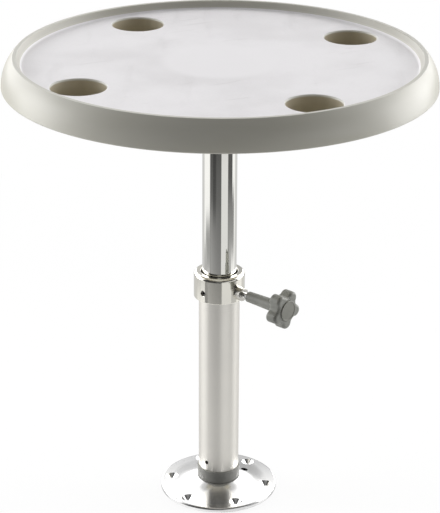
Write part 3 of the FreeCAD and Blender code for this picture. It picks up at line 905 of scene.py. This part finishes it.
STEEL = Metal("zinc_plated_steel", (0.66, 0.66, 0.65), 0.24, mark_pitch=1.5, mark_depth=0.004)
BLACK_OXIDE = Metal(
    "black_oxide_screw", (0.16, 0.155, 0.15), 0.32, mark_pitch=1.2, mark_depth=0.004, tint_share=0.1
)
SOCKET_CASTING = Metal("satin_casting", (0.74, 0.74, 0.73), 0.38, mark_pitch=0.9, mark_depth=0.02)
BLACK_NYLON = Plastic("black_nylon", (0.022, 0.022, 0.023))
FOOT_PLASTIC = Plastic("dark_grey_foot", (0.335, 0.333, 0.312))


@dataclass
class SubAssembly:
    """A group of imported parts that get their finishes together."""

    finishes: dict[str, Finish] = field(default_factory=dict)

    def dress(self) -> None:
        """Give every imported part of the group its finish."""
        for node, finish in self.finishes.items():
            for material_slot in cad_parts[node].material_slots:
                material_slot.material = material_of(finish)
            log.info("part %s: %s", node, finish.name)

    def build(self) -> None:
        """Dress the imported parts; a group with new pieces adds them here."""
        self.dress()


@dataclass
class FloorFlange(SubAssembly):
    """The polished base plate, its hub, the grooved plastic foot ring and the bolt below."""

    ring_reach: float = 32.0 * MILLIMETRE
    ring_wall: float = 30.05 * MILLIMETRE
    ring_bore: float = 27.0 * MILLIMETRE
    ring_foot: float = 17.1 * MILLIMETRE
    ring_floor: float = 20.0 * MILLIMETRE
    ring_head: float = 36.1 * MILLIMETRE
    groove_low: float = 17.8 * MILLIMETRE
    groove_high: float = 19.5 * MILLIMETRE
    groove_depth: float = 1.1 * MILLIMETRE
    foot_rounding: float = 0.35 * MILLIMETRE
    head_rounding: float = 0.70 * MILLIMETRE
    groove_rounding: float = 0.175 * MILLIMETRE
    segments: int = 96
    finishes: dict[str, Finish] = field(
        default_factory=lambda: {
            "base_plate": Metal(
                "polished_base_plate", (0.93, 0.93, 0.93), 0.17, Lay.AROUND_COLUMN,
                mark_pitch=1.2, mark_depth=0.0015, roughness_spread=0.05,
            ),
            "foot_ring": FOOT_PLASTIC,
            "foot_washer": STEEL,
            "foot_bolt": STEEL,
            "foot_spigot": SOCKET_CASTING,
        }
    )

    def foot_ring(self) -> Piece:
        """Shape the cup round the lower tube's foot, with the groove above its bottom edge.

        Returns:
            The piece.
        """
        shape = bmesh.new()
        reach, root = self.ring_reach, self.ring_reach - self.groove_depth
        foot, head, brim = self.foot_rounding, self.head_rounding, self.groove_rounding
        foot_mid, head_mid = foot * ARC_MIDDLE, head * ARC_MIDDLE
        profile = [
            (self.ring_bore, self.ring_foot),
            (reach - foot, self.ring_foot),
            (reach - foot_mid, self.ring_foot + foot_mid),
            (reach, self.ring_foot + foot),
            (reach, self.groove_low - brim),
            (reach - brim, self.groove_low),
            (root, self.groove_low),
            (root, self.groove_high),
            (reach - brim, self.groove_high),
            (reach, self.groove_high + brim),
            (reach, self.ring_head - head),
            (reach - head_mid, self.ring_head - head_mid),
            (reach - head, self.ring_head),
            (self.ring_wall, self.ring_head),
            (self.ring_wall, self.ring_floor),
            (self.ring_bore, self.ring_floor),
            (self.ring_bore, self.ring_foot),
        ]
        lathe(shape, profile, self.segments)
        return Piece("grooved_foot_ring", shape, "base_column", "grey_foot_plastic", ("foot_ring",))

    def build(self) -> None:
        """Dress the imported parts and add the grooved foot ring."""
        self.dress()
        self.foot_ring().finish(FOOT_PLASTIC)


@dataclass
class OuterColumn(SubAssembly):
    """The satin lower tube with its polished collar, liner and set screws."""

    finishes: dict[str, Finish] = field(
        default_factory=lambda: {
            "lower_tube": Metal(
                "satin_anodised_tube", (0.88, 0.857, 0.80), 0.36, Lay.ALONG_COLUMN,
                mark_pitch=0.5, mark_depth=0.004, roughness_spread=0.10,
                turned_low=0.2985, turned_high=0.3145,
            ),
            "clamp_collar": Metal(
                "turned_collar", (0.90, 0.88, 0.80), 0.09, Lay.AROUND_COLUMN,
                mark_pitch=0.7, mark_depth=0.002, roughness_spread=0.06,
            ),
            "tube_liner": BLACK_NYLON,
            "foot_grub_screws": BLACK_OXIDE,
            "collar_grub_screws": BLACK_OXIDE,
        }
    )


@dataclass
class SlidingColumn(SubAssembly):
    """The polished upper tube with the plug and the ring that guide it."""

    finishes: dict[str, Finish] = field(
        default_factory=lambda: {
            "upper_tube": Metal(
                "polished_tube", (0.93, 0.924, 0.88), 0.05, Lay.ALONG_COLUMN,
                mark_pitch=0.8, mark_depth=0.001, roughness_spread=0.05,
            ),
            "tube_end_plug": BLACK_NYLON,
            "guide_ring": Plastic("natural_nylon", (0.62, 0.60, 0.52)),
        }
    )


@dataclass
class ClampScrew(SubAssembly):
    """The star knob with its threaded stud, the boss that carries it and the shoe that it presses.

    The stud's ends and steps are distances from the column's axis.
    """

    thread_crest: float = 3.98 * MILLIMETRE
    thread_depth: float = 0.68 * MILLIMETRE
    thread_pitch: float = 1.25 * MILLIMETRE
    tip_radius: float = 2.5 * MILLIMETRE
    tip_start: float = 27.15 * MILLIMETRE
    tip_chamfer: float = 0.35 * MILLIMETRE
    shoulder: float = 30.23 * MILLIMETRE
    thread_run_in: float = 0.7 * MILLIMETRE
    thread_end: float = 58.5 * MILLIMETRE
    shank_end: float = 85.0 * MILLIMETRE
    finishes: dict[str, Finish] = field(
        default_factory=lambda: {
            "clamp_boss": Metal(
                "turned_boss", (0.58, 0.567, 0.53), 0.26, Lay.AROUND_CLAMP,
                mark_pitch=0.6, mark_depth=0.006, roughness_spread=0.08,
            ),
            "clamp_shoe": BLACK_NYLON,
            "knob_grip": Plastic("grey_knob", (0.27, 0.273, 0.247)),
            "knob_cap": Plastic("grey_knob_cap", (0.245, 0.245, 0.215)),
        }
    )

    def stud(self) -> Piece:
        """Shape the stud with its rolled thread, plain tip and plain shank.

        Returns:
            The piece.
        """
        shape = bmesh.new()
        core = self.thread_crest - self.thread_depth
        thread_start = self.shoulder + self.thread_run_in
        tip = [
            (0.0, self.tip_start),
            (self.tip_radius - self.tip_chamfer, self.tip_start),
            (self.tip_radius, self.tip_start + self.tip_chamfer),
            (self.tip_radius, self.shoulder),
            (core, self.shoulder),
            (core, thread_start),
            (0.0, thread_start),
        ]
        lathe(shape, tip)
        sizes = self.thread_crest, self.thread_pitch, self.thread_depth
        Thread(*sizes, thread_start, self.thread_end).add_to(shape)
        shank = [
            (0.0, self.thread_end),
            (self.thread_crest, self.thread_end),
            (self.thread_crest, self.shank_end),
            (0.0, self.shank_end),
        ]
        lathe(shape, shank)
        bmesh.ops.transform(shape, matrix=CLAMP.outward(), verts=shape.verts)
        return Piece("threaded_stud", shape, "clamp_knob", "steel", ("knob_stud",))

    def build(self) -> None:
        """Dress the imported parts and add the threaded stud."""
        self.dress()
        self.stud().finish(STEEL)


@dataclass
class TableTop(SubAssembly):
    """The moulded top with its core board, inserts, socket flange and screws."""

    finishes: dict[str, Finish] = field(
        default_factory=lambda: {
            "table_top": MouldedTop(
                "moulded_top",
                shell=(0.60, 0.588, 0.525),
                shell_dark=(0.57, 0.556, 0.485),
                surface=(0.93, 0.912, 0.928),
                surface_dark=(0.73, 0.71, 0.72),
                # The cups' darker colour is painted shade.
                cup=(0.54, 0.49, 0.377),
                surface_low=0.67025,
                surface_high=0.6729,
                surface_reach=0.2806,
                crest_level=0.6822,
                cup_reach=0.27,
                flange_reach=0.0825,
            ),
            "core_board": Plywood("painted_plywood", (0.66, 0.65, 0.62), (0.58, 0.57, 0.54)),
            "top_flange": SOCKET_CASTING,
            "flange_screws": STEEL,
            "flange_grub_screws": STEEL,
            "top_inserts": Metal("brass_inserts", (0.80, 0.60, 0.28), 0.22, mark_depth=0.01),
        }
    )


# ---- Studio ----


def toward(azimuth: float, elevation: float) -> Vector:
    """Return the unit vector of a direction seen from the table.

    Args:
        azimuth: 0 for the camera's side, 90 for its right.
        elevation: The angle above the floor.

    Returns:
        The vector.
    """
    turn, rise = math.radians(azimuth), math.radians(elevation)
    level = math.cos(rise)
    return Vector((math.sin(turn) * level, -math.cos(turn) * level, math.sin(rise)))


@dataclass(frozen=True)
class Card:
    """A soft-edged light or dark area of the studio, as seen from the table.

    Left and right are azimuths, where 0 is the camera's side, 90 is its right and 180 is straight
    behind; low and high are elevations. The level of light runs evenly from the card's foot to its
    head, and the lean makes its left edge brighter. A card that crosses 180 is given as two, each
    with one edge past it.
    """

    left: float
    right: float
    low: float
    high: float
    level: float
    head_level: float
    side_softness: float = 6.0
    end_softness: float = 3.0
    lean: float = 0.0

    def over(self, room: Value, azimuth: Value, elevation: Value) -> Value:
        """Put this card into the room.

        Args:
            room: The light so far.
            azimuth: The direction's azimuth in degrees.
            elevation: The direction's elevation in degrees.

        Returns:
            The light with the card.
        """
        share = azimuth.band(self.left, self.right, self.side_softness)
        share = share * elevation.band(self.low, self.high, self.end_softness)
        level = elevation.ramp(self.low, self.high) * (self.head_level - self.level) + self.level
        if self.lean:
            leaning = azimuth.ramp(self.right, self.left).math("POWER", 2.0)
            level = level * (leaning * self.lean + 1.0)
        return room * (1.0 - share) + share * level


@dataclass(frozen=True)
class Lamp:
    """A soft box that faces the table and that the camera doesn't see."""

    name: str
    azimuth: float
    elevation: float
    distance: float
    width: float
    height: float
    radiance: float

    def build(self, target: Vector) -> None:
        """Place the lamp.

        Args:
            target: The point that it faces.
        """
        light = bpy.data.lights.new(self.name, "AREA")
        light.shape = "RECTANGLE"
        light.size = self.width
        light.size_y = self.height
        light.energy = self.radiance * math.pi * self.width * self.height
        lamp = new_object(self.name, light)
        away = toward(self.azimuth, self.elevation)
        lamp.location = target + away * self.distance
        lamp.rotation_euler = away.to_track_quat("Z", "Y").to_euler()
        lamp.visible_camera = False
        log.info("lamp %s", self.name)


@dataclass
class Studio:
    """A white room with a dark side behind the camera, soft boxes, a pale floor and the camera.

    Later cards cover earlier ones. The focal length and the image's height are pixels.
    """

    image_height: float = 513.0
    sensor: float = 36.0
    focal_pixels: float = 1872.31
    camera_place: Triple = (0.0, -2.5088, 1.4205)
    pitch: float = 22.602
    yaw: float = 0.0187
    roll: float = 0.2601
    view_end: float = 50.0
    lamp_target: Triple = (0.0, 0.0, 0.5)
    floor_radius: float = 1.6
    floor_drop: float = 0.3 * MILLIMETRE
    floor_colour: Colour = (0.95, 0.95, 0.95)
    floor_segments: int = 96
    covered_radius: float = 0.078
    # Radius of the painted shadow under the base plate.
    plate_shadow_radius: float = 0.062
    shadow_edge: float = 0.004
    shadow_start: float = 0.3
    shadow_end: float = 1.44
    floor_shadow: float = 0.10
    sky: float = 1.6
    ground: float = 1.0
    horizon_low: float = -3.0
    horizon_high: float = 1.0
    cards: tuple[Card, ...] = (
        # Behind the table: the ground, the bright wall, a dimmer window and the dim horizon.
        Card(120.0, 200.0, -90.0, -3.0, 0.66, 0.66, 14.0, 4.0),
        Card(-200.0, -120.0, -90.0, -3.0, 0.64, 0.64, 14.0, 4.0),
        Card(126.0, 200.0, -3.0, 62.0, 2.7, 2.2, 12.0, 6.0),
        Card(-200.0, -126.0, -3.0, 62.0, 2.7, 2.2, 12.0, 6.0),
        Card(158.0, 200.0, 28.5, 48.0, 1.3, 1.4, 8.0, 1.5),
        Card(-200.0, -158.0, 28.5, 48.0, 1.3, 1.4, 8.0, 1.5),
        Card(166.0, 200.0, -3.0, 28.5, 0.42, 0.44, 4.0, 1.5),
        Card(-200.0, -168.0, -3.0, 28.5, 0.60, 0.60, 5.0, 1.5),
        Card(112.0, 200.0, -18.0, -3.0, 0.30, 0.30, 10.0, 3.0),
        Card(-200.0, -128.0, -16.0, -3.0, 0.30, 0.30, 10.0, 3.0),
        # Overhead.
        Card(-200.0, 200.0, 50.0, 130.0, 0.20, 0.20, 6.0, 30.0),
        Card(95.0, 200.0, 56.0, 130.0, 0.60, 0.60, 20.0, 10.0),
        Card(-200.0, -95.0, 56.0, 130.0, 0.60, 0.60, 20.0, 10.0),
        # The camera's side: dark, with a pale panel at its right and a small one above.
        Card(-78.0, 86.0, 17.0, 58.0, 0.04, 0.04, 18.0, 3.0),
        Card(-76.0, 88.0, -12.0, 17.0, 0.045, 0.045, 10.0, 3.0),
        Card(26.0, 80.0, -4.0, 17.0, 0.90, 0.90, 16.0, 4.0),
        Card(-67.0, 67.0, -26.0, -12.0, 0.045, 0.045, 8.0, 4.0),
        Card(-12.0, 12.0, 24.0, 36.0, 0.60, 0.40, 12.0, 6.0),
        # Low at the camera's left and middle: what the tubes mirror.
        Card(-63.0, 12.0, -21.0, -18.0, 0.145, 0.05, 4.0, 0.5),
        Card(-63.0, 12.0, -24.0, -21.0, 0.27, 0.148, 4.0, 0.5, 0.7),
        Card(-54.0, 12.0, -28.5, -24.0, 0.86, 0.27, 4.0, 0.4, 0.5),
        Card(-54.0, 12.0, -42.0, -28.5, 0.66, 0.86, 4.0, 0.4, 0.3),
        Card(-58.0, 12.0, -90.0, -46.0, 1.0, 0.90, 4.0, 4.0),
        Card(-54.0, 12.0, -46.0, -42.0, 0.66, 0.66, 4.0, 0.4),
        Card(-46.0, -24.0, -21.4, -18.6, 0.085, 0.04, 10.0, 1.0),
        # The bright stripe at the camera's right, and what lies beside it.
        Card(11.0, 57.0, -90.0, -42.0, 1.0, 0.90, 3.0, 4.0),
        Card(11.0, 57.0, -42.0, -19.0, 0.70, 0.76, 3.0, 0.8),
        Card(11.0, 57.0, -19.0, 6.0, 0.76, 0.40, 3.0, 0.8),
        Card(57.0, 92.0, -21.3, -6.0, 0.10, 0.10, 3.0, 1.2),
        Card(57.0, 110.0, -22.6, -20.6, 0.36, 0.19, 4.0, 1.0),
        Card(57.0, 84.0, -26.5, -22.6, 0.86, 0.38, 4.0, 0.6),
        Card(57.0, 84.0, -90.0, -26.5, 0.60, 0.86, 4.0, 0.6),
        # Two thin strips low on the left.
        Card(-104.0, -62.0, -23.2, -21.5, 0.36, 0.30, 16.0, 1.0),
        Card(-122.0, -92.0, -23.6, -22.2, 0.46, 0.50, 8.0, 0.6),
    )
    lamps: tuple[Lamp, ...] = (
        Lamp("left_box", -100.0, 8.0, 1.9, 1.0, 1.3, 4.5),
        Lamp("right_box", 109.0, 8.0, 1.9, 1.3, 1.3, 3.5),
    )

    def build(self) -> None:
        """Build the whole studio, in which colours show as they are written."""
        bpy.context.scene.view_settings.view_transform = "Standard"
        self.build_world()
        self.build_floor()
        for lamp in self.lamps:
            lamp.build(Vector(self.lamp_target))
        self.build_camera()

    def build_world(self) -> None:
        """Fill the room with light; the camera sees plain white."""
        world = bpy.data.worlds.new("studio")
        world.use_nodes = True
        bpy.context.scene.world = world
        bench = Bench(world.node_tree)
        x, y, z = bench.parts(bench.node("ShaderNodeTexCoord").outputs["Generated"])
        azimuth = x.math("ARCTAN2", -y) * math.degrees(1.0)
        elevation = z.math("ARCSINE") * math.degrees(1.0)
        above = elevation.rise(self.horizon_low, self.horizon_high)
        room = above * (self.sky - self.ground) + self.ground
        for card in self.cards:
            room = card.over(room, azimuth, elevation)
        lit = bench.node("ShaderNodeBackground", None, {"Color": WHITE, "Strength": room})
        plain = bench.node("ShaderNodeBackground", None, {"Color": WHITE, "Strength": 1.0})
        seen = bench.value(bench.node("ShaderNodeLightPath"), "Is Camera Ray")
        bench.output("ShaderNodeOutputWorld", bench.shader_mix(seen, lit, plain))

    def build_floor(self) -> None:
        """Lay a pale floor that only the camera sees, with the object's shadow on it."""
        shape = bmesh.new()
        bmesh.ops.create_circle(
            shape, cap_ends=True, segments=self.floor_segments, radius=self.floor_radius
        )
        bmesh.ops.translate(shape, vec=(0.0, 0.0, -self.floor_drop), verts=shape.verts)
        mesh = new_mesh("floor", shape)
        mesh.materials.append(self.floor_material())
        new_object("floor", mesh)

    def floor_material(self) -> bpy.types.Material:
        """Make white with a faint shadow round the object, painted shadow at the drain, clear from
        below.

        Returns:
            The finished material.
        """
        material, bench = new_material("pale_floor")
        x, y, _ = bench.parts(bench.place())
        reach = x.hypot(y)
        open_floor = reach.rise(self.covered_radius, self.covered_radius + self.shadow_edge)
        # Painted shadow: black under the base plate, where the drain hole shows the floor.
        lit = reach.rise(self.plate_shadow_radius, self.plate_shadow_radius + self.shadow_edge)
        near = reach.fall(self.shadow_start, self.shadow_end)
        matt = bench.node("ShaderNodeBsdfDiffuse", None, {"Color": self.floor_colour})
        glow = {"Color": bench.blend(lit, BLACK, WHITE), "Strength": 1.0}
        white = bench.node("ShaderNodeEmission", None, glow)
        mixed = bench.shader_mix(near * self.floor_shadow * open_floor, white, matt)
        seen = bench.value(bench.node("ShaderNodeLightPath"), "Is Camera Ray")
        seen = seen.math("MAXIMUM", 1.0 - open_floor)
        behind = bench.value(bench.node("ShaderNodeNewGeometry"), "Backfacing")
        clear = bench.node("ShaderNodeBsdfTransparent")
        shader = bench.shader_mix(seen * (1.0 - behind), clear, mixed)
        bench.output("ShaderNodeOutputMaterial", shader)
        return material

    def build_camera(self) -> None:
        """Place the camera and make it the scene's."""
        data = bpy.data.cameras.new("camera")
        data.sensor_width = self.sensor
        data.lens = self.focal_pixels / self.image_height * self.sensor
        data.clip_end = self.view_end
        camera = new_object("camera", data)
        turn = Matrix.Rotation(math.radians(-self.yaw), 4, "Z")
        turn = turn @ Matrix.Rotation(math.radians(90.0 - self.pitch), 4, "X")
        turn = turn @ Matrix.Rotation(math.radians(self.roll), 4, "Z")
        camera.matrix_world = Matrix.Translation(self.camera_place) @ turn
        bpy.context.scene.camera = camera


def main() -> None:
    """Build the studio and dress every sub-assembly in order."""
    logging.basicConfig(level=logging.INFO, format="%(message)s")
    Studio().build()
    for group in (FloorFlange(), OuterColumn(), SlidingColumn(), ClampScrew(), TableTop()):
        log.info("group %s", type(group).__name__)
        group.build()


if __name__ == "__main__":
    main()
